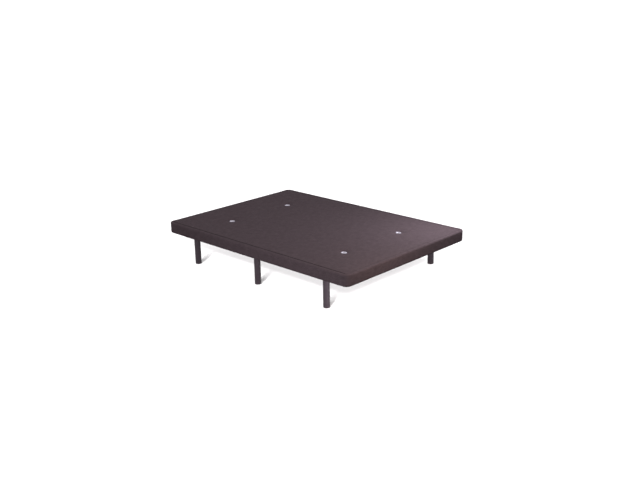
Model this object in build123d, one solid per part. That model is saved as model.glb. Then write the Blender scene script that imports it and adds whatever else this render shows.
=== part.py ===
from build123d import *
import math
import os

# Upholstered platform bed base on six screw-in legs, in millimetres.
# Origin on the floor under the centre, +Z up, X across the bed, Y along it with the head end at +Y.

# Overall sizes of the covered base
WIDTH = 1350.0
LENGTH = 1900.0
UNDERSIDE_HEIGHT = 222.0
CORNER_RADIUS = 50.0

# Fabric cover: top panel, border band and the hem that turns under
COVER_THICKNESS = 2.0
TOP_EDGE_RADIUS = 16.0
BOTTOM_EDGE_RADIUS = 14.0
SIDE_BELLY = 2.0
CROWN_RISE = 1.5
CROWN_WIDTH = 160.0
CROWN_CORNER_RADIUS = 20.0
SEAM_INSET = 20.0
HEM_WIDTH = 45.0
DUST_COVER_THICKNESS = 1.0
DUST_COVER_INSET = 18.0
DUST_COVER_LEG_GAP = 2.0

# Padding
FOAM_THICKNESS = 20.0
SIDE_PADDING = 6.0
TUFT_RADIUS = 85.0
TUFT_DEPTH = 14.0

# Pine frame and fibreboard deck
RAIL_HEIGHT = 60.0
RAIL_WIDTH = 35.0
RAIL_EDGE_RADIUS = 10.0
CORNER_BLOCK = 80.0
LEG_RAIL_WIDTH = 60.0
PLAIN_RAIL_WIDTH = 40.0
DECK_THICKNESS = 5.0
DECK_JOINT_GAP = 2.0

# Dowels, screws and staples
DOWEL_RADIUS = 4.0
DOWEL_LENGTH = 50.0
DOWEL_SPACING = 24.0
RAIL_SCREW_RADIUS = 2.5
RAIL_SCREW_LENGTH = 80.0
RAIL_SCREW_HEAD_RADIUS = 4.8
RAIL_SCREW_EDGE = 12.0
DECK_SCREW_RADIUS = 2.0
DECK_SCREW_LENGTH = 25.0
DECK_SCREW_HEAD_RADIUS = 4.0
DECK_SCREW_COLUMNS = 5
DECK_SCREW_JOINT_OFFSET = 15.0
DRIVE_RADIUS = 1.8
DRIVE_DEPTH = 1.2
HOLE_CLEARANCE = 0.1
STAPLE_CROWN = 10.0
STAPLE_WIRE = 0.8
STAPLE_LEG = 8.0
STAPLE_PITCH = 75.0
STAPLE_INSET = 28.0
STAPLE_CORNER_MARGIN = 70.0

# Air vents
VENT_INSET_X = 367.5
VENT_INSET_Y = 355.0
VENT_FLANGE_RADIUS = 22.0
VENT_FLANGE_HEIGHT = 3.0
VENT_TUBE_RADIUS = 14.8
VENT_WALL = 1.2
VENT_LIP = 2.4
VENT_LIP_HEIGHT = 1.5
VENT_WASHER_THICKNESS = 1.5
GRILLE_THICKNESS = 1.2
GRILLE_RISE = 2.0
GRILLE_HOLE_RADIUS = 1.1
GRILLE_RINGS = 3
GRILLE_HOLES_PER_RING = 6

# Legs
LEG_INSET_X = 80.0
LEG_INSET_Y = 260.0
LEG_RADIUS = 24.0
LEG_WALL = 1.5
LEG_PLATE_THICKNESS = 5.0
FOOT_HEIGHT = 8.0
FOOT_EDGE_RADIUS = 3.0
FOOT_PLUG = 18.0
LEG_FIT_CLEARANCE = 0.1
STUD_RADIUS = 4.9
STUD_LENGTH = 24.0
STUD_CLEARANCE = 0.1
INSERT_RADIUS = 8.0
INSERT_LENGTH = 26.0
INSERT_HOLE_SPARE = 2.0
WASHER_THICKNESS = 2.0
WASHER_RIM = 1.0

# Levels from the floor up
HEM_BOTTOM = UNDERSIDE_HEIGHT + DUST_COVER_THICKNESS
FRAME_BOTTOM = HEM_BOTTOM + COVER_THICKNESS
FRAME_TOP = FRAME_BOTTOM + RAIL_HEIGHT
DECK_TOP = FRAME_TOP + DECK_THICKNESS
FOAM_TOP = DECK_TOP + FOAM_THICKNESS
COVER_TOP = FOAM_TOP + COVER_THICKNESS
VENT_SEAT = COVER_TOP - TUFT_DEPTH
LEG_TOP = FRAME_BOTTOM - WASHER_THICKNESS

# Half sizes of the frame inside the cover and its padding
FRAME_INSET = COVER_THICKNESS + SIDE_PADDING
FRAME_X = WIDTH / 2 - FRAME_INSET
FRAME_Y = LENGTH / 2 - FRAME_INSET
RAIL_INNER_X = FRAME_X - RAIL_WIDTH
RAIL_INNER_Y = FRAME_Y - RAIL_WIDTH
BLOCK_X = FRAME_X - CORNER_BLOCK
BLOCK_Y = FRAME_Y - CORNER_BLOCK

# Places of the vents, legs and cross rails
LEG_X = WIDTH / 2 - LEG_INSET_X
LEG_Y = LENGTH / 2 - LEG_INSET_Y
VENT_X = WIDTH / 2 - VENT_INSET_X
VENT_Y = LENGTH / 2 - VENT_INSET_Y
SIDES = {"left": -1, "right": 1}
ENDS = {"head": 1, "foot": -1}
ROWS = {"head": 1, "middle": 0, "foot": -1}
VENTS = {f"{e}_{s}": (SIDES[s] * VENT_X, ENDS[e] * VENT_Y) for e in ENDS for s in SIDES}
LEGS = {f"{r}_{s}": (SIDES[s] * LEG_X, ROWS[r] * LEG_Y) for r in ROWS for s in SIDES}
LEG_RAILS = {f"leg_rail_{r}": (ROWS[r] * LEG_Y, LEG_RAIL_WIDTH) for r in ROWS}
PLAIN_RAILS = {f"cross_rail_{e}": (ENDS[e] * LEG_Y / 2, PLAIN_RAIL_WIDTH) for e in ENDS}
CROSS_RAILS = LEG_RAILS | PLAIN_RAILS

os.makedirs("parts", exist_ok=True)


def save(node, shape):
    export_step(shape, f"parts/{node}.step")


def group(solids):
    return Compound(children=[s.solid() for s in solids])


def block(x0, x1, y0, y1, z0, z1):
    """A box between two corners."""
    centre = ((x0 + x1) / 2, (y0 + y1) / 2, (z0 + z1) / 2)
    return Pos(*centre) * Box(abs(x1 - x0), abs(y1 - y0), z1 - z0)


def slab(inset, radius, z0, z1):
    """A rounded rectangle of the base's plan, drawn in by an inset."""
    plan = RectangleRounded(WIDTH - 2 * inset, LENGTH - 2 * inset, radius)
    return Pos(0, 0, z0) * extrude(plan, z1 - z0)


def pipe(x, y, radius, z0, z1):
    """An upright round bar."""
    return Pos(x, y, (z0 + z1) / 2) * Cylinder(radius, z1 - z0)


def cushion_outline(inward):
    """Inset and height of the upholstered outline from its turned-under edge up to the crown.

    The side has a slight belly, the lower and upper edges are round, and the top rises to a low crown.
    """
    outline = []
    lower_z = HEM_BOTTOM + BOTTOM_EDGE_RADIUS
    lower_r = BOTTOM_EDGE_RADIUS - inward
    lower_inset = SIDE_BELLY + BOTTOM_EDGE_RADIUS
    for angle in (0, 30, 60, 90):
        a = math.radians(angle)
        outline.append((lower_inset - lower_r * math.sin(a), lower_z - lower_r * math.cos(a)))
    upper_edge = COVER_TOP - CROWN_RISE
    upper_z = upper_edge - TOP_EDGE_RADIUS
    upper_r = TOP_EDGE_RADIUS - inward
    upper_inset = SIDE_BELLY + TOP_EDGE_RADIUS
    for share in (0.25, 0.5, 0.75):
        z = lower_z + share * (upper_z - lower_z)
        outline.append((inward + SIDE_BELLY * (2 * share - 1) ** 2, z))
    for angle in (0, 22.5, 45, 67.5, 90):
        a = math.radians(angle)
        outline.append((upper_inset - upper_r * math.cos(a), upper_z + upper_r * math.sin(a)))
    for share in (0.3, 0.6, 1):
        inset = upper_inset + share * (CROWN_WIDTH - upper_inset)
        outline.append((inset, upper_edge + CROWN_RISE * (1 - (1 - share) ** 2) - inward))
    return outline


def cushion(inward):
    """The whole upholstered form as a closed solid, drawn in by a thickness."""
    sections = []
    for inset, z in cushion_outline(inward):
        radius = max(CORNER_RADIUS - inset, CROWN_CORNER_RADIUS)
        plan = RectangleRounded(WIDTH - 2 * inset, LENGTH - 2 * inset, radius)
        sections.append(Pos(0, 0, z) * plan)
    return loft(sections, ruled=True)


def tuft(x, y, top):
    """The hollow that a vent pulls into the padding: two arcs that run level at rim and seat."""
    seat = VENT_FLANGE_RADIUS + 2 * COVER_THICKNESS
    middle = (seat + TUFT_RADIUS) / 2
    run = TUFT_RADIUS - seat
    arc = (run * run + TUFT_DEPTH * TUFT_DEPTH) / (4 * TUFT_DEPTH)
    half = math.asin(run / 2 / arc) / 2
    bow_x = arc * math.sin(half)
    bow_z = arc * (1 - math.cos(half))
    inner = ThreePointArc((seat, -TUFT_DEPTH), (seat + bow_x, bow_z - TUFT_DEPTH), (middle, -TUFT_DEPTH / 2))
    outer = ThreePointArc((middle, -TUFT_DEPTH / 2), (TUFT_RADIUS - bow_x, -bow_z), (TUFT_RADIUS, 0))
    rim = [(TUFT_RADIUS, 0), (TUFT_RADIUS, TUFT_DEPTH)]
    rest = Polyline(*rim, (0, TUFT_DEPTH), (0, -TUFT_DEPTH), (seat, -TUFT_DEPTH))
    face = make_face(Plane.XZ * (inner + outer + rest))
    return Pos(x, y, top) * revolve(face, Axis.Z)


def screw(radius, length, head_radius, grow=0.0):
    """A countersunk screw, head level with z = 0 and point down; grow makes the hole that takes it."""
    r = radius + grow
    h = head_radius + grow
    tip = length + grow
    profile = Polyline((0, 0), (h, 0), (r, -(h - r)), (r, -(tip - r)), (0, -tip), (0, 0))
    body = revolve(make_face(Plane.XZ * profile), Axis.Z)
    if grow == 0:
        body -= Pos(0, 0, -DRIVE_DEPTH) * extrude(RegularPolygon(DRIVE_RADIUS, 6), DRIVE_DEPTH)
    return body


# Padded form: the outside of the cover, the outside of the padding, and both with their tufts
cover_form = cushion(0)
padding_form = cushion(COVER_THICKNESS)
for x, y in VENTS.values():
    cover_form -= tuft(x, y, COVER_TOP)
    padding_form -= tuft(x, y, FOAM_TOP)

# Frame block that the rails, corner blocks and deck are cut from, its lower edge eased for the fabric
frame_form = slab(FRAME_INSET, CORNER_RADIUS - FRAME_INSET, FRAME_BOTTOM, DECK_TOP)
frame_form = fillet(frame_form.edges().group_by(Axis.Z)[0], RAIL_EDGE_RADIUS)

# Dowels between the rails' ends and the corner blocks
dowels = []
dowel_holes = []
rail_middle = (FRAME_BOTTOM + FRAME_TOP) / 2
for sx in SIDES.values():
    for sy in ENDS.values():
        for shift in (-DOWEL_SPACING / 2, DOWEL_SPACING / 2):
            along_y = Pos(sx * (FRAME_X - RAIL_WIDTH / 2), sy * BLOCK_Y, rail_middle + shift) * Rot(90, 0, 0)
            along_x = Pos(sx * BLOCK_X, sy * (FRAME_Y - RAIL_WIDTH / 2), rail_middle + shift) * Rot(0, 90, 0)
            hole = Cylinder(DOWEL_RADIUS + HOLE_CLEARANCE, DOWEL_LENGTH + 2 * HOLE_CLEARANCE)
            for place in (along_y, along_x):
                dowels.append(place * Cylinder(DOWEL_RADIUS, DOWEL_LENGTH))
                dowel_holes.append(place * hole)

# Screws through the side rails into the ends of the cross rails
rail_screws = []
rail_screw_holes = []
for y, width in CROSS_RAILS.values():
    for sx in SIDES.values():
        for shift in (RAIL_SCREW_EDGE - width / 2, width / 2 - RAIL_SCREW_EDGE):
            place = Pos(sx * FRAME_X, y + shift, rail_middle) * Rot(0, sx * 90, 0)
            size = (RAIL_SCREW_RADIUS, RAIL_SCREW_LENGTH, RAIL_SCREW_HEAD_RADIUS)
            rail_screws.append(place * screw(*size))
            rail_screw_holes.append(place * screw(*size, grow=HOLE_CLEARANCE))

# Screws that hold the deck to every rail, in rows across the bed
deck_screws = []
deck_screw_holes = []
edge_x = FRAME_X - RAIL_WIDTH / 2
edge_y = FRAME_Y - RAIL_WIDTH / 2
screw_rows = [-edge_y, edge_y, -DECK_SCREW_JOINT_OFFSET, DECK_SCREW_JOINT_OFFSET]
screw_rows += [y for y, width in CROSS_RAILS.values() if y != 0]
for y in screw_rows:
    for i in range(DECK_SCREW_COLUMNS):
        x = -edge_x + 2 * edge_x * i / (DECK_SCREW_COLUMNS - 1)
        size = (DECK_SCREW_RADIUS, DECK_SCREW_LENGTH, DECK_SCREW_HEAD_RADIUS)
        deck_screws.append(Pos(x, y, DECK_TOP) * screw(*size))
        deck_screw_holes.append(Pos(x, y, DECK_TOP) * screw(*size, grow=HOLE_CLEARANCE))

# Blind holes for the threaded inserts that take the leg studs
insert_holes = []
insert_hole_top = FRAME_BOTTOM + INSERT_LENGTH + INSERT_HOLE_SPARE
for x, y in LEGS.values():
    insert_holes.append(pipe(x, y, INSERT_RADIUS + HOLE_CLEARANCE, FRAME_BOTTOM, insert_hole_top))


def drilled(piece):
    """A frame piece with the holes that reach into it."""
    box = piece.bounding_box()
    holes = [h for h in dowel_holes + rail_screw_holes + deck_screw_holes + insert_holes
             if h.bounding_box().overlaps(box)]
    return piece - holes if holes else piece


# Outer rails, butted between the corner blocks
for side, sx in SIDES.items():
    rail = frame_form & block(sx * RAIL_INNER_X, sx * FRAME_X, -BLOCK_Y, BLOCK_Y, FRAME_BOTTOM, FRAME_TOP)
    save(f"side_rail_{side}", drilled(rail))
for end, sy in ENDS.items():
    rail = frame_form & block(-BLOCK_X, BLOCK_X, sy * RAIL_INNER_Y, sy * FRAME_Y, FRAME_BOTTOM, FRAME_TOP)
    save(f"{end}_rail", drilled(rail))

# Corner blocks with the round corner of the base
for end, sy in ENDS.items():
    for side, sx in SIDES.items():
        corner = block(sx * BLOCK_X, sx * FRAME_X, sy * BLOCK_Y, sy * FRAME_Y, FRAME_BOTTOM, FRAME_TOP)
        save(f"corner_block_{end}_{side}", drilled(frame_form & corner))

# Cross rails between the side rails: three wide ones over the legs and two plain ones
for node, (y, width) in CROSS_RAILS.items():
    rail = block(-RAIL_INNER_X, RAIL_INNER_X, y - width / 2, y + width / 2, FRAME_BOTTOM, FRAME_TOP)
    save(node, drilled(rail))
save("frame_dowels", group(dowels))
save("cross_rail_screws", group(rail_screws))

# Fibreboard deck in two boards that meet over the middle rail
vent_holes = [pipe(x, y, VENT_TUBE_RADIUS + HOLE_CLEARANCE, FRAME_TOP, COVER_TOP) for x, y in VENTS.values()]
for end, sy in ENDS.items():
    board = frame_form & block(-FRAME_X, FRAME_X, sy * DECK_JOINT_GAP / 2, sy * FRAME_Y, FRAME_TOP, DECK_TOP)
    save(f"deck_board_{end}", drilled(board) - vent_holes)
save("deck_screws", group(deck_screws))

# Foam on the deck, with a thinner strip round the sides of the frame
foam = padding_form & slab(0, CORNER_RADIUS, DECK_TOP, COVER_TOP)
save("foam_pad", foam - vent_holes)
strip = padding_form & slab(0, CORNER_RADIUS, FRAME_BOTTOM, DECK_TOP)
save("side_padding", strip - frame_form)

# Fabric cover, sewn from a top panel and a border that rolls over the edge and turns under the frame
skin = cover_form - padding_form
top_zone = slab(SEAM_INSET, CORNER_RADIUS - SEAM_INSET, DECK_TOP, COVER_TOP)
save("cover_top", (skin & top_zone) - vent_holes)
border = skin - top_zone
border -= slab(SIDE_BELLY + HEM_WIDTH, CROWN_CORNER_RADIUS, HEM_BOTTOM, FRAME_BOTTOM)
for x, y in LEGS.values():
    border -= pipe(x, y, LEG_RADIUS - WASHER_RIM, HEM_BOTTOM, FRAME_BOTTOM)
save("cover_border", border)

# Dust cover under the frame, cut out round each leg, and the staples that hold it and the hem
dust_cover = slab(DUST_COVER_INSET, CORNER_RADIUS - DUST_COVER_INSET, UNDERSIDE_HEIGHT, HEM_BOTTOM)
for x, y in LEGS.values():
    dust_cover -= pipe(x, y, LEG_RADIUS + DUST_COVER_LEG_GAP, UNDERSIDE_HEIGHT, HEM_BOTTOM)
save("dust_cover", dust_cover)

half = STAPLE_CROWN / 2
inner = half - STAPLE_WIRE
low = UNDERSIDE_HEIGHT - STAPLE_WIRE
high = UNDERSIDE_HEIGHT + STAPLE_LEG
bend = Polyline((-half, low), (half, low), (half, high), (inner, high), (inner, UNDERSIDE_HEIGHT),
                (-inner, UNDERSIDE_HEIGHT), (-inner, high), (-half, high), (-half, low))
staple = extrude(make_face(Plane.XZ * bend), STAPLE_WIRE / 2, both=True)
staples = []
for half_run, half_other, turn in ((WIDTH / 2, LENGTH / 2, 0), (LENGTH / 2, WIDTH / 2, 90)):
    reach = half_run - STAPLE_CORNER_MARGIN
    count = round(2 * reach / STAPLE_PITCH)
    for i in range(count + 1):
        step = -reach + 2 * reach * i / count
        for sign in (-1, 1):
            staples.append(Rot(0, 0, turn) * Pos(step, sign * (half_other - STAPLE_INSET), 0) * staple)
save("staples", group(staples))

# Air vents: flanged eyelet through cover, foam and deck, perforated grille, and washer behind the deck
washer_low = FRAME_TOP - VENT_WASHER_THICKNESS
lip_low = washer_low - VENT_LIP_HEIGHT
bore = VENT_TUBE_RADIUS - VENT_WALL
flange_high = VENT_SEAT + VENT_FLANGE_HEIGHT
crest = (bore + VENT_FLANGE_RADIUS) / 2
flange = ThreePointArc((VENT_FLANGE_RADIUS, VENT_SEAT), (crest, flange_high), (bore, VENT_SEAT))
tube = Polyline((bore, VENT_SEAT), (bore, lip_low), (VENT_TUBE_RADIUS + VENT_LIP, lip_low),
                (VENT_TUBE_RADIUS + VENT_LIP, washer_low), (VENT_TUBE_RADIUS, washer_low),
                (VENT_TUBE_RADIUS, VENT_SEAT), (VENT_FLANGE_RADIUS, VENT_SEAT))
eyelet = revolve(make_face(Plane.XZ * (flange + tube)), Axis.Z)

grille_edge = bore - HOLE_CLEARANCE
grille_low = VENT_SEAT - GRILLE_THICKNESS
dome_high = ThreePointArc((-grille_edge, VENT_SEAT), (0, VENT_SEAT + GRILLE_RISE), (grille_edge, VENT_SEAT))
dome_low = ThreePointArc((-grille_edge, grille_low), (0, grille_low + GRILLE_RISE), (grille_edge, grille_low))
walls = Line((-grille_edge, grille_low), (-grille_edge, VENT_SEAT))
walls += Line((grille_edge, VENT_SEAT), (grille_edge, grille_low))
dome = make_face(Plane.XZ * (dome_high + dome_low + walls))
grille = revolve(split(dome, Plane.YZ), Axis.Z)
ring_step = grille_edge / (GRILLE_RINGS + 1)
grille -= pipe(0, 0, GRILLE_HOLE_RADIUS, grille_low, flange_high)
for ring in range(1, GRILLE_RINGS + 1):
    for spot in PolarLocations(ring * ring_step, ring * GRILLE_HOLES_PER_RING):
        grille -= spot * pipe(0, 0, GRILLE_HOLE_RADIUS, grille_low, flange_high)

vent_washer = pipe(0, 0, VENT_FLANGE_RADIUS, washer_low, FRAME_TOP)
vent_washer -= pipe(0, 0, VENT_TUBE_RADIUS + HOLE_CLEARANCE, washer_low, FRAME_TOP)
for name, (x, y) in VENTS.items():
    save(f"vent_eyelet_{name}", Pos(x, y, 0) * eyelet)
    save(f"vent_grille_{name}", Pos(x, y, 0) * grille)
save("vent_washers", group([Pos(x, y, 0) * vent_washer for x, y in VENTS.values()]))

# Threaded inserts in the leg rails
insert = pipe(0, 0, INSERT_RADIUS, FRAME_BOTTOM, FRAME_BOTTOM + INSERT_LENGTH)
insert -= pipe(0, 0, STUD_RADIUS + STUD_CLEARANCE, FRAME_BOTTOM, FRAME_BOTTOM + INSERT_LENGTH)
save("leg_inserts", group([Pos(x, y, 0) * insert for x, y in LEGS.values()]))

# Legs: steel tube, top plate with its stud, plastic foot and the washer under the frame
tube_bore = LEG_RADIUS - LEG_WALL
plug_radius = tube_bore - LEG_FIT_CLEARANCE
leg_tube = pipe(0, 0, LEG_RADIUS, FOOT_HEIGHT, LEG_TOP) - pipe(0, 0, tube_bore, FOOT_HEIGHT, LEG_TOP)
stud_plate = pipe(0, 0, plug_radius, LEG_TOP - LEG_PLATE_THICKNESS, LEG_TOP)
stud_plate += pipe(0, 0, STUD_RADIUS, LEG_TOP, LEG_TOP + WASHER_THICKNESS + STUD_LENGTH)
foot = pipe(0, 0, LEG_RADIUS, 0, FOOT_HEIGHT)
foot = fillet(foot.edges().group_by(Axis.Z)[0], FOOT_EDGE_RADIUS)
foot += pipe(0, 0, plug_radius, FOOT_HEIGHT, FOOT_HEIGHT + FOOT_PLUG)
leg_washer = pipe(0, 0, LEG_RADIUS - WASHER_RIM, LEG_TOP, FRAME_BOTTOM)
leg_washer -= pipe(0, 0, STUD_RADIUS + 2 * STUD_CLEARANCE, LEG_TOP, FRAME_BOTTOM)
for name, (x, y) in LEGS.items():
    place = Pos(x, y, 0)
    save(f"leg_tube_{name}", place * leg_tube)
    save(f"leg_stud_plate_{name}", place * stud_plate)
    save(f"leg_foot_{name}", place * foot)
    save(f"leg_washer_{name}", place * leg_washer)
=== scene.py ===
import math

import bmesh
import bpy
from mathutils import Matrix, Vector


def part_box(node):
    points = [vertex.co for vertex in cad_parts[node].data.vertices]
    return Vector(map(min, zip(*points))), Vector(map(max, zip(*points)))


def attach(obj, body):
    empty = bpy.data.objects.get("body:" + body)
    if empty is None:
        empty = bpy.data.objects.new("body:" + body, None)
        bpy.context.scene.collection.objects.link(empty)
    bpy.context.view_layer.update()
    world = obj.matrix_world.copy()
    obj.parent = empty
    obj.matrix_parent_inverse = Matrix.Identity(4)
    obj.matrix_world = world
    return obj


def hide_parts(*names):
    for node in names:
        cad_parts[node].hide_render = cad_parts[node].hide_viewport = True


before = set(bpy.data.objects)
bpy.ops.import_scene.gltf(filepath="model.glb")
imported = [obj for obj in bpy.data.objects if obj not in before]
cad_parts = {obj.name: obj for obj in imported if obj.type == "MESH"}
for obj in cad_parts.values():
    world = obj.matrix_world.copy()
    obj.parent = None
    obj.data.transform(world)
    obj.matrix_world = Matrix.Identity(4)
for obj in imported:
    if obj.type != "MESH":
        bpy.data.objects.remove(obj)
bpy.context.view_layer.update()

# Camera.
# It stands off the near foot corner of the bed base, a little above its top, as the photograph was taken.
# The lens is given in pixels of the picture's width.
picture_width = 630
lens_pixels = 853.504
sensor_width = 36.0
camera_azimuth = math.radians(-46.094)
camera_elevation = math.radians(18.558)
camera_roll = math.radians(1.007)
camera_distance = 6.03611
camera_target = Vector((-0.425045, -0.425324, 0.312))
camera_back = Vector((
    math.sin(camera_azimuth) * math.cos(camera_elevation),
    -math.cos(camera_azimuth) * math.cos(camera_elevation),
    math.sin(camera_elevation),
))
level_right = Vector((math.cos(camera_azimuth), math.sin(camera_azimuth), 0.0))
level_up = camera_back.cross(level_right)
camera_right = level_right * math.cos(camera_roll) - level_up * math.sin(camera_roll)
camera_up = level_right * math.sin(camera_roll) + level_up * math.cos(camera_roll)
camera = bpy.data.objects.new("camera", bpy.data.cameras.new("camera"))
bpy.context.scene.collection.objects.link(camera)
camera.data.sensor_fit = "HORIZONTAL"
camera.data.sensor_width = sensor_width
camera.data.lens = lens_pixels / picture_width * sensor_width
camera.data.clip_start = 0.05
camera.data.clip_end = 500.0
camera.matrix_world = (
    Matrix.Translation(camera_target + camera_back * camera_distance)
    @ Matrix((camera_right, camera_up, camera_back)).transposed().to_4x4()
)
bpy.context.scene.camera = camera

# Pine frame: two side rails, head and foot rails, four corner blocks and five cross rails.
# They are planed softwood, butted together and hidden by the upholstery, so the grain runs along each piece.
corner_names = [f"{end}_{side}" for end in ("head", "foot") for side in ("left", "right")]


def srgb(code):
    """A hex colour as the linear values that a shader takes."""
    channels = [int(code[i:i + 2], 16) / 255 for i in (1, 3, 5)]
    return [c / 12.92 if c <= 0.04045 else ((c + 0.055) / 1.055) ** 2.4 for c in channels] + [1.0]


def add(tree, kind, inputs, **settings):
    """Adds a node, sets its settings, and links or sets its inputs."""
    made = tree.nodes.new(kind)
    for name, value in settings.items():
        setattr(made, name, value)
    for name, value in inputs.items():
        if isinstance(value, bpy.types.NodeSocket):
            tree.links.new(value, made.inputs[name])
        else:
            made.inputs[name].default_value = value
    return made


def start_finish(name, roughness, metallic=0.0, specular=0.5):
    """A new material with its tree and its shader."""
    finish = bpy.data.materials.new(name)
    finish.use_nodes = True
    shader = finish.node_tree.nodes["Principled BSDF"]
    shader.inputs["Roughness"].default_value = roughness
    shader.inputs["Metallic"].default_value = metallic
    shader.inputs["Specular IOR Level"].default_value = specular
    return finish, finish.node_tree, shader


def two_tones(tree, share, first, second):
    """A colour that goes from one tone to another by a share."""
    mixed = add(tree, "ShaderNodeMix", {0: share, 6: srgb(first), 7: srgb(second)}, data_type="RGBA")
    return mixed.outputs[2]


def relief(tree, height, strength, distance):
    """A normal that follows a height."""
    made = add(tree, "ShaderNodeBump", {"Height": height, "Strength": strength, "Distance": distance})
    return made.outputs[0]


def feed(tree, shader, sockets):
    """Links what was made to the shader's own inputs."""
    for name, socket in sockets.items():
        tree.links.new(socket, shader.inputs[name])


def coat(nodes, finish):
    """Gives CAD nodes a finish."""
    for name in nodes:
        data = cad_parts[name].data
        data.materials.clear()
        data.materials.append(finish)


def planed_wood(name, light, dark, grain_mm, scale_along, roughness):
    """Planed wood: pale early wood and darker late wood in long streaks, with a fine ridge of the cutter."""
    finish, tree, shader = start_finish(name, roughness, specular=0.35)
    place = add(tree, "ShaderNodeTexCoord", {})
    streak_mm = grain_mm * 28
    stretch = [1000 / (streak_mm if axis == scale_along else grain_mm) for axis in "xyz"]
    laid = add(tree, "ShaderNodeMapping", {"Vector": place.outputs["Object"], "Scale": stretch})
    streaks = add(tree, "ShaderNodeTexNoise", {"Vector": laid.outputs[0], "Scale": 1.0, "Detail": 4.0,
                                               "Roughness": 0.62, "Distortion": 0.35}).outputs["Fac"]
    rings = add(tree, "ShaderNodeMapRange", {"Value": streaks, "From Min": 0.36, "From Max": 0.66})
    feed(tree, shader, {"Base Color": two_tones(tree, rings.outputs[0], light, dark),
                        "Normal": relief(tree, streaks, 0.3, 0.0006)})
    return finish


# Pine, planed: pale honey with brown late-wood lines about 5 mm apart, and nearly matt.
pine_lengthwise = planed_wood("planed_pine_lengthwise", "#dcbd8a", "#b98f58", 5.0, "y", 0.62)
pine_crosswise = planed_wood("planed_pine_crosswise", "#dcbd8a", "#b98f58", 5.0, "x", 0.62)
coat(["side_rail_left", "side_rail_right"], pine_lengthwise)
coat(["head_rail", "foot_rail", "leg_rail_head", "leg_rail_middle", "leg_rail_foot"], pine_crosswise)
coat(["cross_rail_head", "cross_rail_foot"], pine_crosswise)
coat([f"corner_block_{name}" for name in corner_names], pine_crosswise)

# Dowels: turned beech pins, glued between the rails and the corner blocks.
# Beech is pinker and finer than pine, with flecks a millimetre or two apart.
beech = planed_wood("turned_beech", "#d3a77c", "#b07f55", 1.6, "x", 0.55)
coat(["frame_dowels"], beech)

# Screws: countersunk steel, zinc plated, in the cross rails' ends and through the deck.
# The plating is a cool grey with a faint mottle from the bath.


def speckle(tree, size_mm, detail, roughness=0.5):
    """Noise in a piece's own space, with spots of about one size."""
    place = add(tree, "ShaderNodeTexCoord", {})
    noise = add(tree, "ShaderNodeTexNoise", {"Vector": place.outputs["Object"], "Scale": 1000 / size_mm,
                                             "Detail": detail, "Roughness": roughness})
    return noise.outputs["Fac"]


def spread(tree, share, low, high):
    """A value that goes from low to high by a share."""
    return add(tree, "ShaderNodeMapRange", {"Value": share, "To Min": low, "To Max": high}).outputs[0]


zinc, tree, shader = start_finish("zinc_plated_steel", 0.36, metallic=1.0)
mottle = speckle(tree, 2.5, 3.0)
feed(tree, shader, {"Base Color": two_tones(tree, mottle, "#a9adb1", "#cdd0d2"),
                    "Roughness": spread(tree, mottle, 0.26, 0.46)})
coat(["cross_rail_screws", "deck_screws"], zinc)

# Deck: two boards of thin fibreboard, screwed to the rails, that carry the foam.
# Pressed brown fibres show as short flecks of a few millimetres on a smooth face.
fibreboard, tree, shader = start_finish("pressed_fibreboard", 0.7, specular=0.3)
flecks = speckle(tree, 3.0, 5.0, 0.7)
feed(tree, shader, {"Base Color": two_tones(tree, flecks, "#7d5b3c", "#a7835b"),
                    "Normal": relief(tree, flecks, 0.25, 0.0004)})
coat(["deck_board_head", "deck_board_foot"], fibreboard)

# Upholstered form: what the foam and the sewn cover take together as one tight cushion.
# It is a lined grid for the top, with rings drawn out over the edge, down the side and under the frame.
# A cloth simulation then swells it between the places where it is held: seam, vents and underside.
border_low, border_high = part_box("cover_border")
top_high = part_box("cover_top")[1]
half_x = border_high.x
half_y = border_high.y
corner_radius = 0.050
side_inset = 0.002
edge_radius = 0.010
top_drop = 0.0015
edge_height = top_high.z - top_drop
underside = border_low.z
fold_radius = 0.014
deck_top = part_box("deck_board_head")[1].z
flat_inset = 0.036
cell = 0.020

# The seam: its line, how far it draws the cover in, and how hard on the ends and the right, against the left.
# How hard it pulls also sets how dark the painted shade line along the seam is.
seam_inset = 0.030
seam_reach = 0.004
end_pull_and_shade = 0.15
right_pull_and_shade = 0.4

# The tuft about each vent, as radius and depth from under the flange outwards.
# Its first rings are the steep collar.
tuft_wall = ((0.0185, 0.0127), (0.0227, 0.0127), (0.0233, 0.0112), (0.0242, 0.0097), (0.0255, 0.0087),
             (0.028, 0.0075), (0.035, 0.0056), (0.044, 0.0039), (0.055, 0.0024), (0.068, 0.0012),
             (0.085, 0.0004), (0.100, 0.0))
collar_rings = 5
vent_cell = 0.008
vent_cells_reach = 0.048
vent_hole_reach = 0.05
vent_held_reach = 0.030
vent_places = []
for name in corner_names:
    low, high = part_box(f"vent_eyelet_{name}")
    vent_places.append(((low.x + high.x) / 2, (low.y + high.y) / 2))
vent_x = max(x for x, y in vent_places)
vent_y = max(y for x, y in vent_places)


def grid_lines(stops, step):
    """Places of the lines of a grid that has a line at every stop and near even cells between them."""
    lines = [stops[0]]
    for near, far in zip(stops, stops[1:]):
        cells = max(1, round((far - near) / step))
        lines += [near + (far - near) * (i + 1) / cells for i in range(cells)]
    return lines


def sheet_lines(half, corner, points, reach, fine, coarse):
    """Lines from edge to edge of a sheet: close at its round corners and about each point, wider between."""
    lines = grid_lines([-half, corner - half], corner / 4)
    for point in points:
        lines += grid_lines([lines[-1], point - reach], coarse)[1:]
        lines += grid_lines([point - reach, point, point + reach], fine)[1:]
    lines += grid_lines([lines[-1], half - corner], coarse)[1:]
    return lines + grid_lines([half - corner, half], corner / 4)[1:]


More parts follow.
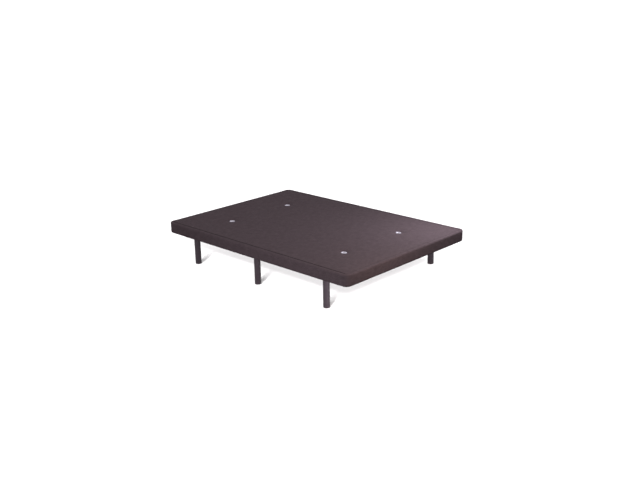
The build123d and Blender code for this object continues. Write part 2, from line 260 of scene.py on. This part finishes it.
def lined_grid(across, along):
    """A flat grid with its lines at the places given."""
    mesh = bmesh.new()
    bmesh.ops.create_grid(mesh, x_segments=len(across) - 1, y_segments=len(along) - 1, size=1.0)
    for v in mesh.verts:
        v.co.x = across[round((v.co.x + 1) / 2 * (len(across) - 1))]
        v.co.y = along[round((v.co.y + 1) / 2 * (len(along) - 1))]
    return mesh


def round_corners(mesh, x, y, radius):
    """Draws the square corners of a flat grid in to a radius."""
    for v in mesh.verts:
        over_x = (abs(v.co.x) - x + radius) / radius
        over_y = (abs(v.co.y) - y + radius) / radius
        if over_x > 0 and over_y > 0:
            v.co.x = math.copysign(x - radius + radius * over_x * math.sqrt(1 - over_y ** 2 / 2), v.co.x)
            v.co.y = math.copysign(y - radius + radius * over_y * math.sqrt(1 - over_x ** 2 / 2), v.co.y)


def open_round_holes(mesh, places, square_hole, radius, reach):
    """Takes out the cells within a square at each place, and turns those about it into rings."""
    middles = []
    for x, y in places:
        for v in mesh.verts:
            dx, dy = v.co.x - x, v.co.y - y
            square = max(abs(dx), abs(dy))
            if square < square_hole * 0.95:
                middles.append(v)
            elif square < reach:
                share = min(1.0, (reach - square) / (reach - square_hole))
                share = share * share * (3 - 2 * share)
                ring = radius + (square - square_hole) * (reach - radius) / (reach - square_hole)
                factor = 1 + share * (ring / math.hypot(dx, dy) - 1)
                v.co.x, v.co.y = x + dx * factor, y + dy * factor
    bmesh.ops.delete(mesh, geom=middles, context="VERTS")


def drawn_out(mesh, edges):
    """Extrudes edges: the new vertices, the new faces and the new outer edges."""
    made = bmesh.ops.extrude_edge_only(mesh, edges=edges)["geom"]
    fresh = {g for g in made if isinstance(g, bmesh.types.BMVert)}
    faces = [g for g in made if isinstance(g, bmesh.types.BMFace)]
    outer = [g for g in made if isinstance(g, bmesh.types.BMEdge) and set(g.verts) <= fresh]
    return fresh, faces, outer


def rings_out(mesh, edges, profile, zone_layer, down_layer):
    """Draws a loop of edges out through rings of a given inset, height and zone, round the base's plan."""
    fallen = 0.0
    last = None
    for inset, height, zone in profile:
        fresh, faces, edges = drawn_out(mesh, edges)
        if last is not None:
            fallen += math.hypot(inset - last[0], height - last[1])
        last = (inset, height)
        for v in fresh:
            centre_x = max(-half_x + corner_radius, min(half_x - corner_radius, v.co.x))
            centre_y = max(-half_y + corner_radius, min(half_y - corner_radius, v.co.y))
            out = Vector((v.co.x - centre_x, v.co.y - centre_y, 0)).normalized() * (corner_radius - inset)
            v.co = (centre_x + out.x, centre_y + out.y, height)
            v[down_layer] = fallen
        for face in faces:
            face[zone_layer] = zone


flat_x = half_x - flat_inset
flat_y = half_y - flat_inset
flat_corner = corner_radius - flat_inset
across = sheet_lines(flat_x, flat_corner, (-vent_x, vent_x), vent_cells_reach, vent_cell, cell)
along = sheet_lines(flat_y, flat_corner, (-vent_y, vent_y), vent_cells_reach, vent_cell, cell)
form = lined_grid(across, along)
zone_layer = form.faces.layers.int.new("zone")
along_layer = form.verts.layers.float.new("along")
down_layer = form.verts.layers.float.new("down")
seam_layer = form.verts.layers.float.new("seam")
round_corners(form, flat_x, flat_y, flat_corner)
open_round_holes(form, vent_places, 2 * vent_cell, tuft_wall[collar_rings][0], tuft_wall[-1][0])


def nearest_vent(v):
    """The place of the vent nearest to a vertex, and how far off its axis is."""
    return min((math.hypot(v.co.x - x, v.co.y - y), x, y) for x, y in vent_places)


# The cover dips steeply beside each vent's flange and goes on under it.
collar = [e for e in form.edges
          if e.is_boundary and all(nearest_vent(v)[0] < vent_hole_reach for v in e.verts)]
for radius, depth in reversed(tuft_wall[:collar_rings]):
    fresh, _, collar = drawn_out(form, collar)
    for v in fresh:
        r, x, y = nearest_vent(v)
        v.co.x, v.co.y = x + (v.co.x - x) * radius / r, y + (v.co.y - y) * radius / r
for v in form.verts:
    v.co.z = edge_height
    r = max(tuft_wall[0][0], nearest_vent(v)[0])
    for (near, deep), (far, shallow) in zip(tuft_wall, tuft_wall[1:]):
        if near <= r <= far:
            v.co.z = edge_height - deep - (shallow - deep) * (r - near) / (far - near)

# The outer edge's vertices are walked round once, so that the border's weave can follow the band.
rim = [e for e in form.edges
       if e.is_boundary and all(nearest_vent(v)[0] > vent_hole_reach for v in e.verts)]
rim_left = set(rim)
walked = rim[0].verts[0]
rim_length = 0.0
while rim_left:
    edge = next(e for e in walked.link_edges if e in rim_left)
    rim_left.discard(edge)
    walked[along_layer] = rim_length
    rim_length += edge.calc_length()
    walked = edge.other_vert(walked)

# Zones from the top down: the top panel, the border over the foam, the border beside the frame, and the hem.
# The border's roll stands a little proud of the top panel, and the simulation draws it down again.
panel_zone, roll_zone, side_zone, hem_zone = range(4)
roll_rise = 0.0020
top_edge = edge_height + roll_rise - edge_radius
edge_inset = side_inset + edge_radius
fold_top = underside + fold_radius
profile = [(seam_inset + off, edge_height, panel_zone) for off in (0.0045, 0.0030, 0.0015, 0.0)]
for off, share in ((0.0012, 0.0), (0.0026, 0.0), (0.0045, 0.2), (0.0080, 0.6), (0.0130, 0.9)):
    profile.append((seam_inset - off, edge_height + share * roll_rise, roll_zone))
for angle in (90, 82, 74, 66, 56, 45, 34, 22, 11, 0):
    a = math.radians(angle)
    profile.append((edge_inset - edge_radius * math.cos(a), top_edge + edge_radius * math.sin(a), roll_zone))
profile.append((side_inset, deck_top, roll_zone))
for share in (0.8, 0.65, 0.5, 0.35, 0.2, 0.08, 0.0):
    profile.append((side_inset, fold_top + share * (deck_top - underside - fold_radius), side_zone))
for angle, zone in ((67.5, side_zone), (45, side_zone), (22.5, hem_zone), (0, hem_zone)):
    a = math.radians(angle)
    profile.append((side_inset + fold_radius * (1 - math.sin(a)),
                    underside + fold_radius * (1 - math.cos(a)), zone))
for inset in (0.018, 0.028, 0.037, 0.047):
    profile.append((inset, underside, hem_zone))
rings_out(form, rim, profile, zone_layer, down_layer)
bmesh.ops.recalc_face_normals(form, faces=form.faces[:])

# How far the seam draws each vertex in, from 0 at its reach to 1 on it.
# It is pulled deep along the left side, less along the right, and lies nearly flat across the two ends.
# The same value darkens the knit there as painted shade: a dark line in the seam, darkest on the left.
seam_down = profile[0][0] - seam_inset
for v in form.verts:
    out_x = max(0.0, abs(v.co.x) - half_x + corner_radius)
    out_y = max(0.0, abs(v.co.y) - half_y + corner_radius)
    across_side = out_x ** 2 / max(1e-9, out_x ** 2 + out_y ** 2)
    near_seam = max(0.0, 1 - abs(v[down_layer] - seam_down) / seam_reach)
    side_pull_and_shade = 1.0 if v.co.x < 0 else right_pull_and_shade
    v[seam_layer] = near_seam * (end_pull_and_shade + (side_pull_and_shade - end_pull_and_shade) * across_side)

# The cover is held beside each vent, along the seam and on the lower part of the fold.
held_fold_share = 0.8
held_height = underside + fold_radius * held_fold_share
form.verts.ensure_lookup_table()
held = [v.index for v in form.verts
        if nearest_vent(v)[0] < vent_held_reach or v[seam_layer] > 0 or v.co.z < held_height]

swell_cap = 0.0015
last_frame = 20
blank = bpy.data.meshes.new("upholstery_blank")
form.to_mesh(blank)
dummy = bpy.data.objects.new("upholstery_blank", blank)
bpy.context.scene.collection.objects.link(dummy)
pins = dummy.vertex_groups.new(name="held")
pins.add(held, 1.0, "REPLACE")
cloth = dummy.modifiers.new("cloth", "CLOTH")
cloth.settings.quality = 5
cloth.settings.mass = 0.4
cloth.settings.tension_stiffness = 30
cloth.settings.compression_stiffness = 30
cloth.settings.bending_stiffness = 2.0
cloth.settings.use_pressure = True
cloth.settings.uniform_pressure_force = 4.0
cloth.settings.effector_weights.gravity = 0.0
cloth.settings.vertex_group_mass = "held"
cloth.collision_settings.use_collision = False
for number in range(1, last_frame + 1):
    bpy.context.scene.frame_set(number)
swollen = dummy.evaluated_get(bpy.context.evaluated_depsgraph_get()).to_mesh()
for v in form.verts:
    moved = swollen.vertices[v.index].co - v.co
    if moved.length > 1e-9:
        v.co += moved * (swell_cap * math.tanh(moved.length / swell_cap) / moved.length)
bpy.context.scene.frame_set(1)
bpy.data.objects.remove(dummy)
bpy.data.meshes.remove(blank)


def panel_of(*zones):
    """A copy of the upholstered form that keeps only some of its zones."""
    part = form.copy()
    layer = part.faces.layers.int["zone"]
    gone = [f for f in part.faces if f[layer] not in zones]
    bmesh.ops.delete(part, geom=gone, context="FACES")
    return part


def draw_in(mesh, depth):
    """Moves a mesh inwards along its own normals."""
    mesh.normal_update()
    normals = {v: v.normal.copy() for v in mesh.verts}
    for v, normal in normals.items():
        v.co -= normal * depth


def piece_from(mesh, name, finish, body):
    """A finished, smooth piece that rides on a body."""
    data = bpy.data.meshes.new(name)
    mesh.to_mesh(data)
    mesh.free()
    data.materials.append(finish)
    for polygon in data.polygons:
        polygon.use_smooth = True
    piece = bpy.data.objects.new(name, data)
    bpy.context.scene.collection.objects.link(piece)
    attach(piece, body)
    return piece


def thicken(piece, name, thickness):
    """Gives a piece its thickness inwards."""
    wall = piece.modifiers.new(name, "SOLIDIFY")
    wall.thickness = thickness
    wall.offset = -1.0


# Foam pad: one sheet of cut polyether foam on the deck, pressed hollow under each vent.
# Open cells of about 2 mm make it matt and slightly grainy, in pale cream.
foam_cell_mm = 2.0
foam_finish, tree, shader = start_finish("cut_polyether_foam", 0.95, specular=0.2)
place = add(tree, "ShaderNodeTexCoord", {})
cells = add(tree, "ShaderNodeTexVoronoi",
            {"Vector": place.outputs["Object"], "Scale": 1000 / foam_cell_mm}).outputs["Distance"]
feed(tree, shader, {"Base Color": two_tones(tree, cells, "#cfc4a2", "#ece5cf"),
                    "Normal": relief(tree, cells, 0.5, 0.0008)})
cover_thickness = 0.002
cover_gap = 0.0003
seam_depth = 0.0035
foam_seam_depth = seam_depth + 0.0045
foam_bottom = deck_top + 0.0002
foam_rim_height = deck_top + 0.001
join_reach = 0.00025
least_edge = 0.00001


def press_seam(mesh, depth):
    """Draws a mesh down along the seam, most on the seam's own line."""
    layer = mesh.verts.layers.float["seam"]
    for v in mesh.verts:
        v.co.z -= depth * v[layer]


foam = panel_of(panel_zone, roll_zone)
press_seam(foam, foam_seam_depth)
draw_in(foam, cover_thickness + cover_gap)
for v in foam.verts:
    if v.co.z < foam_rim_height:
        v.co.z = foam_bottom
lowered = bmesh.ops.extrude_face_region(foam, geom=foam.faces[:], use_keep_orig=True)["geom"]
for v in (g for g in lowered if isinstance(g, bmesh.types.BMVert)):
    v.co.z = foam_bottom
bmesh.ops.remove_doubles(foam, verts=foam.verts[:], dist=join_reach)
bmesh.ops.dissolve_degenerate(foam, edges=foam.edges[:], dist=least_edge)
bmesh.ops.recalc_face_normals(foam, faces=foam.faces[:])
foam_pad = piece_from(foam, "foam_pad_cut", foam_finish, "base")
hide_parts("foam_pad")

# Side padding: a thin strip of the same foam, glued round the frame's sides under the border.
# It keeps the edges of the rails and the corner blocks from showing through the cover.
strip_thickness = 0.0036
strip = panel_of(side_zone)
draw_in(strip, cover_thickness + cover_gap)
side_strip = piece_from(strip, "side_padding_strip", foam_finish, "base")
thicken(side_strip, "wall", strip_thickness)
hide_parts("side_padding")

# Cover, top panel: one cut of knitted spacer fabric, sewn to the border just inside the edge.
# The vents pull it down.
# The knit is dark plum polyester in two tones, soft and matt with a dusty bloom at a low angle.
# Its openings are about 2.5 mm apart, drawn at 5 mm so that they show, and so are its slubs, at 10 by 40 mm.
knit_pitch = 0.005
slub_length_mm = 40.0
slub_width_mm = 10.0
allowance_drops = (0.0010, 0.0016)


def wave_grid(tree, place, pitch):
    """Crossed waves of one pitch: the rows and columns of a knit, or of bonded points."""
    parts = add(tree, "ShaderNodeSeparateXYZ", {"Vector": place})
    waves = []
    for axis in (0, 1):
        turn = add(tree, "ShaderNodeMath", {0: parts.outputs[axis], 1: 2 * math.pi / pitch},
                   operation="MULTIPLY")
        waves.append(add(tree, "ShaderNodeMath", {0: turn.outputs[0]}, operation="SINE").outputs[0])
    return add(tree, "ShaderNodeMath", {0: waves[0], 1: waves[1]}, operation="MULTIPLY").outputs[0]


def shaded(tree, colour, level):
    """A colour made darker or lighter by a level."""
    return add(tree, "ShaderNodeVectorMath", {0: colour, 1: level}, operation="MULTIPLY").outputs[0]


knit, tree, shader = start_finish("knitted_spacer_fabric", 0.9, specular=0.03)
shader.inputs["Sheen Weight"].default_value = 0.02
shader.inputs["Sheen Roughness"].default_value = 0.45
shader.inputs["Sheen Tint"].default_value = srgb("#cdbfc5")
laid = add(tree, "ShaderNodeUVMap", {}, uv_map="weave").outputs[0]
loops = wave_grid(tree, laid, knit_pitch)
yarn = add(tree, "ShaderNodeMapRange", {"Value": loops, "From Min": -0.7, "From Max": 0.7},
           interpolation_type="SMOOTHSTEP")
blotch = add(tree, "ShaderNodeMapRange", {"Value": speckle(tree, 45.0, 4.0, 0.65), "From Min": 0.3,
                                          "From Max": 0.7, "To Min": 0.9, "To Max": 1.1})
slub_laid = add(tree, "ShaderNodeMapping", {"Vector": laid,
                                            "Scale": (1000 / slub_length_mm, 1000 / slub_width_mm, 1.0)})
slubs = add(tree, "ShaderNodeTexNoise", {"Vector": slub_laid.outputs[0], "Scale": 1.0, "Detail": 3.0,
                                         "Roughness": 0.7})
thick = add(tree, "ShaderNodeMapRange", {"Value": slubs.outputs["Fac"], "From Min": 0.3, "From Max": 0.7,
                                         "To Min": 0.88, "To Max": 1.12})
# Painted shade: a dark line on the seam, down to 0.3 of the knit's colour along the left side, less on the
# right and the ends.
seam = add(tree, "ShaderNodeAttribute", {}, attribute_name="seam")
seam_painted_shade = add(tree, "ShaderNodeMapRange", {"Value": seam.outputs["Fac"], "From Max": 0.5,
                                           "To Min": 1.0, "To Max": 0.3})
colour = two_tones(tree, yarn.outputs[0], "#463b40", "#53474c")
for level in (blotch, thick, seam_painted_shade):
    colour = shaded(tree, colour, level.outputs[0])
feed(tree, shader, {"Base Color": colour, "Normal": relief(tree, loops, 0.4, 0.0006)})


def lay_weave(mesh, band_length=0.0):
    """UV in metres: flat on the top panel, or round and down a band."""
    uv = mesh.loops.layers.uv.new("weave")
    along = mesh.verts.layers.float["along"]
    down = mesh.verts.layers.float["down"]
    for face in mesh.faces:
        places = [v[along] for v in face.verts]
        wraps = band_length and max(places) - min(places) > band_length / 2
        for loop in face.loops:
            v = loop.vert
            if band_length:
                lap = band_length if wraps and v[along] < band_length / 2 else 0.0
                loop[uv].uv = (v[along] + lap, v[down])
            else:
                loop[uv].uv = (v.co.x, v.co.y)


def turn_in(mesh):
    """Draws a panel down into the seam and turns its cut edge in, as its sewing allowance."""
    down = mesh.verts.layers.float["down"]
    edges = [e for e in mesh.edges
             if e.is_boundary and all(abs(v[down] - seam_down) < 1e-5 for v in e.verts)]
    press_seam(mesh, seam_depth)
    for drop in allowance_drops:
        fresh, lip, outer = drawn_out(mesh, edges)
        wrong = [f for f in lip if any(e in edges and not e.is_contiguous for e in f.edges)]
        bmesh.ops.reverse_faces(mesh, faces=wrong)
        bmesh.ops.translate(mesh, verts=list(fresh), vec=(0, 0, -drop))
        edges = outer


def sew(piece, thickness):
    """Gives a sewn panel its thickness inwards and rounds it."""
    thicken(piece, "thickness", thickness)
    smooth = piece.modifiers.new("smooth", "SUBSURF")
    smooth.levels = smooth.render_levels = 1


panel = panel_of(panel_zone)
turn_in(panel)
lay_weave(panel)
top_panel = piece_from(panel, "cover_top_panel", knit, "base")
sew(top_panel, cover_thickness)
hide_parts("cover_top")

# Cover, border: a long band of the same knit, sewn into a loop and to the top panel.
# It is drawn tight down the sides and folded under, where staples hold its hem to the rails.
band = panel_of(roll_zone, side_zone, hem_zone)
turn_in(band)
lay_weave(band, rim_length)
border = piece_from(band, "cover_border_band", knit, "base")
sew(border, cover_thickness)
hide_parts("cover_border")
form.free()

# Vents: a flanged brass eyelet, nickel plated, clinched through cover, foam and deck, with a pierced grille.
# The plate is bright and warm grey, polished but handled, so it is a little streaked.
nickel, tree, shader = start_finish("nickel_plate", 0.4, metallic=1.0)
streak = speckle(tree, 4.0, 5.0)
feed(tree, shader, {"Base Color": two_tones(tree, streak, "#bab4c1", "#d0cbd8"),
                    "Roughness": spread(tree, streak, 0.42, 0.58)})
for kind in ("eyelet", "grille"):
    coat([f"vent_{kind}_{name}" for name in corner_names], nickel)
coat(["vent_washers"], zinc)

# Dust cover: thin black spunbond cloth under the frame, cut out round each leg and stapled over the hem.
# Heat-bonded points about 3 mm apart give it a faint dimpled grid, and it hangs a little between the rails.
bond_pitch = 0.003
spunbond, tree, shader = start_finish("spunbond_polypropylene", 0.8, specular=0.3)
place = add(tree, "ShaderNodeTexCoord", {})
points = wave_grid(tree, place.outputs["Object"], bond_pitch)
feed(tree, shader, {"Base Color": two_tones(tree, speckle(tree, 12.0, 6.0, 0.7), "#1d1b1d", "#343134"),
                    "Normal": relief(tree, points, 0.35, 0.0003)})
leg_names = [f"{row}_{side}" for row in ("head", "middle", "foot") for side in ("left", "right")]
leg_places = []
for name in leg_names:
    low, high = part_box(f"leg_tube_{name}")
    leg_places.append(((low.x + high.x) / 2, (low.y + high.y) / 2))
leg_x = max(x for x, y in leg_places)
leg_y = max(y for x, y in leg_places)
dust_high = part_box("dust_cover")[1]
dust_x = dust_high.x
dust_y = dust_high.y
dust_inset = 0.018
dust_corner = corner_radius - dust_inset
dust_gap = 0.0002
dust_sag = 0.0022
dust_thickness = 0.0007
hole_cell = 0.026
hole_radius = 0.0275
hole_reach = 0.07
across = sheet_lines(dust_x, dust_corner, (-leg_x, leg_x), hole_cell, hole_cell / 2, hole_cell)
along = sheet_lines(dust_y, dust_corner, (-leg_y, 0.0, leg_y), hole_cell, hole_cell / 2, hole_cell)
sheet = lined_grid(across, along)
round_corners(sheet, dust_x, dust_y, dust_corner)
open_round_holes(sheet, leg_places, hole_cell, hole_radius, hole_reach)
for v in sheet.verts:
    slack = (1 - (v.co.x / dust_x) ** 2) * (1 - (v.co.y / dust_y) ** 2)
    bay = 0.5 - 0.5 * math.cos(4 * math.pi * v.co.y / leg_y)
    v.co.z = dust_high.z - dust_gap - dust_sag * slack * bay
bmesh.ops.recalc_face_normals(sheet, faces=sheet.faces[:])
dust_cover = piece_from(sheet, "dust_cover_cloth", spunbond, "base")
sew(dust_cover, dust_thickness)
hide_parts("dust_cover")

# Staples: round galvanised wire, driven through dust cover and hem into the rails.
# They have the same cool grey plating as the screws.
coat(["staples"], zinc)

# Threaded inserts, driven into the leg rails, and the plate and stud welded in the top of each leg.
# Both are turned or pressed steel, zinc plated.
coat(["leg_inserts"], zinc)
coat([f"leg_stud_plate_{name}" for name in leg_names], zinc)

# Legs: round steel tube with a powder coat in the cover's own plum grey.
# The baked powder is satin, with a fine orange peel of about 1.5 mm.
powder, tree, shader = start_finish("powder_coated_steel", 0.4, specular=0.12)
peel = speckle(tree, 1.5, 2.0)
cloudy = speckle(tree, 30.0, 3.0)
feed(tree, shader, {"Base Color": two_tones(tree, cloudy, "#3c333a", "#483f45"),
                    "Roughness": spread(tree, cloudy, 0.34, 0.48),
                    "Normal": relief(tree, peel, 0.15, 0.0003)})
coat([f"leg_tube_{name}" for name in leg_names], powder)

# Feet and washers: moulded polypropylene, a plug pressed into each tube and a ring between leg and frame.
# The mould's spark-eroded face leaves a fine even grain.
moulded, tree, shader = start_finish("moulded_polypropylene", 0.5, specular=0.15)
grain = speckle(tree, 0.8, 2.0)
feed(tree, shader, {"Base Color": two_tones(tree, grain, "#3e353b", "#4a4147"),
                    "Normal": relief(tree, grain, 0.2, 0.0002)})
coat([f"leg_foot_{name}" for name in leg_names], moulded)
coat([f"leg_washer_{name}" for name in leg_names], moulded)

# Floor: a plain white studio floor that keeps a soft shadow under the base.
# Its own lights bring it up to the white of the background, so that the two meet with no edge.
# What it throws back on the base is darker, because the photograph's sides are dark low down.
floor_half = 120.0
floor_glow = 0.11
floor_mesh = bmesh.new()
bmesh.ops.create_grid(floor_mesh, x_segments=8, y_segments=8, size=floor_half)
floor_data = bpy.data.meshes.new("studio_floor")
floor_mesh.to_mesh(floor_data)
floor_mesh.free()
floor = bpy.data.objects.new("studio_floor", floor_data)
bpy.context.scene.collection.objects.link(floor)


def seen(tree):
    """1 for what the camera sees, also in a mirror or through glass, and 0 for light on its way."""
    ray = add(tree, "ShaderNodeLightPath", {})
    looks = add(tree, "ShaderNodeMath", {0: ray.outputs["Is Camera Ray"], 1: ray.outputs["Is Glossy Ray"]},
                operation="MAXIMUM")
    looks = add(tree, "ShaderNodeMath", {0: looks.outputs[0], 1: ray.outputs["Is Transmission Ray"]},
                operation="MAXIMUM")
    return looks.outputs[0]


paper = bpy.data.materials.new("white_studio_paper")
paper.use_nodes = True
tree = paper.node_tree
tree.nodes.remove(tree.nodes["Principled BSDF"])
glow = add(tree, "ShaderNodeEmission", {"Color": (1, 1, 1, 1), "Strength": floor_glow})
shade = add(tree, "ShaderNodeBsdfDiffuse", {"Color": srgb("#bcbabb")})
face = add(tree, "ShaderNodeAddShader", {0: glow.outputs[0], 1: shade.outputs[0]})
bounce = add(tree, "ShaderNodeBsdfDiffuse", {"Color": srgb("#383838")})
both = add(tree, "ShaderNodeMixShader", {0: seen(tree), 1: bounce.outputs[0], 2: face.outputs[0]})
tree.links.new(both.outputs[0], tree.nodes["Material Output"].inputs["Surface"])
floor_data.materials.append(paper)

# Light: an even white room, weak soft lamps off the left side and the foot, and one close over the right
# foot corner. A low lamp shines on the legs alone, and narrow lights that draw shadows on the floor alone.
room_level = 0.66
world = bpy.data.worlds.new("white_room")
bpy.context.scene.world = world
world.use_nodes = True
tree = world.node_tree
room = tree.nodes["Background"]
room.inputs["Color"].default_value = (1, 1, 1, 1)
tree.links.new(spread(tree, seen(tree), room_level, 1.0), room.inputs["Strength"])


def soft_lamp(name, place, aim, size, power, tint=(1, 1, 1)):
    """A square lamp that faces a point."""
    lamp = bpy.data.objects.new(name, bpy.data.lights.new(name, "AREA"))
    lamp.data.size = size
    lamp.data.energy = power
    lamp.data.color = tint
    lamp.visible_camera = False
    bpy.context.scene.collection.objects.link(lamp)
    lamp.location = place
    lamp.rotation_euler = (Vector(aim) - Vector(place)).to_track_quat("-Z", "Y").to_euler()
    return lamp


def link_light(lamp, side, pieces):
    """Lets a lamp shine on some pieces alone, or be blocked by some pieces alone."""
    chosen = bpy.data.collections.new(f"{lamp.name}_{side}")
    for piece in pieces:
        chosen.objects.link(piece)
    setattr(lamp.light_linking, f"{side}_collection", chosen)


soft_lamp("left_lamp", (-2.45, -0.78, 0.5), (-0.675, -0.4, 0.2), 0.5, 16.0)
soft_lamp("foot_lamp", (-0.37, -1.55, 0.75), (-0.3, -0.95, 0.28), 0.4, 4.8, (1.0, 0.84, 0.7))
soft_lamp("right_lamp", (0.66, -0.95, 1.0), (0.3, -0.7, 0.3), 0.3, 9.8, (0.95, 0.97, 1.0))
leg_lamp = soft_lamp("leg_lamp", (-0.75, -1.8, 0.2), (-0.4, -0.6, 0.12), 0.3, 13.0)
leg_pieces = [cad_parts[f"leg_{kind}_{name}"]
              for kind in ("tube", "foot", "washer") for name in leg_names]
link_light(leg_lamp, "receiver", leg_pieces)

# The floor's lights: one that only the upholstery blocks, whose shadow ends just under the near sides, and
# five in a column that only the legs block, for a short shadow beside each leg that fades with its length.
# Each gives a share of white on the floor, which sends back half of what it gets.
paper_albedo = 0.5
floor_lights = [("slab_shadow_light", (-0.74, -0.67), 26.0, 3.2, 0.29, [top_panel, border, dust_cover])]
for elevation in (38, 46, 54, 62, 70):
    floor_lights.append((f"leg_shadow_light_{elevation}", (-0.89, -0.45), elevation, 6.0, 0.126, leg_pieces))
for name, toward, elevation, angle, share, blockers in floor_lights:
    light = bpy.data.objects.new(name, bpy.data.lights.new(name, "SUN"))
    slope = math.radians(elevation)
    light.data.angle = math.radians(angle)
    light.data.energy = share * math.pi / (paper_albedo * math.sin(slope))
    bpy.context.scene.collection.objects.link(light)
    light.rotation_euler = Vector((*toward, math.tan(slope))).to_track_quat("Z", "Y").to_euler()
    link_light(light, "receiver", [floor])
    link_light(light, "blocker", blockers)

bpy.context.scene.view_settings.view_transform = "Standard"
bpy.context.view_layer.update()
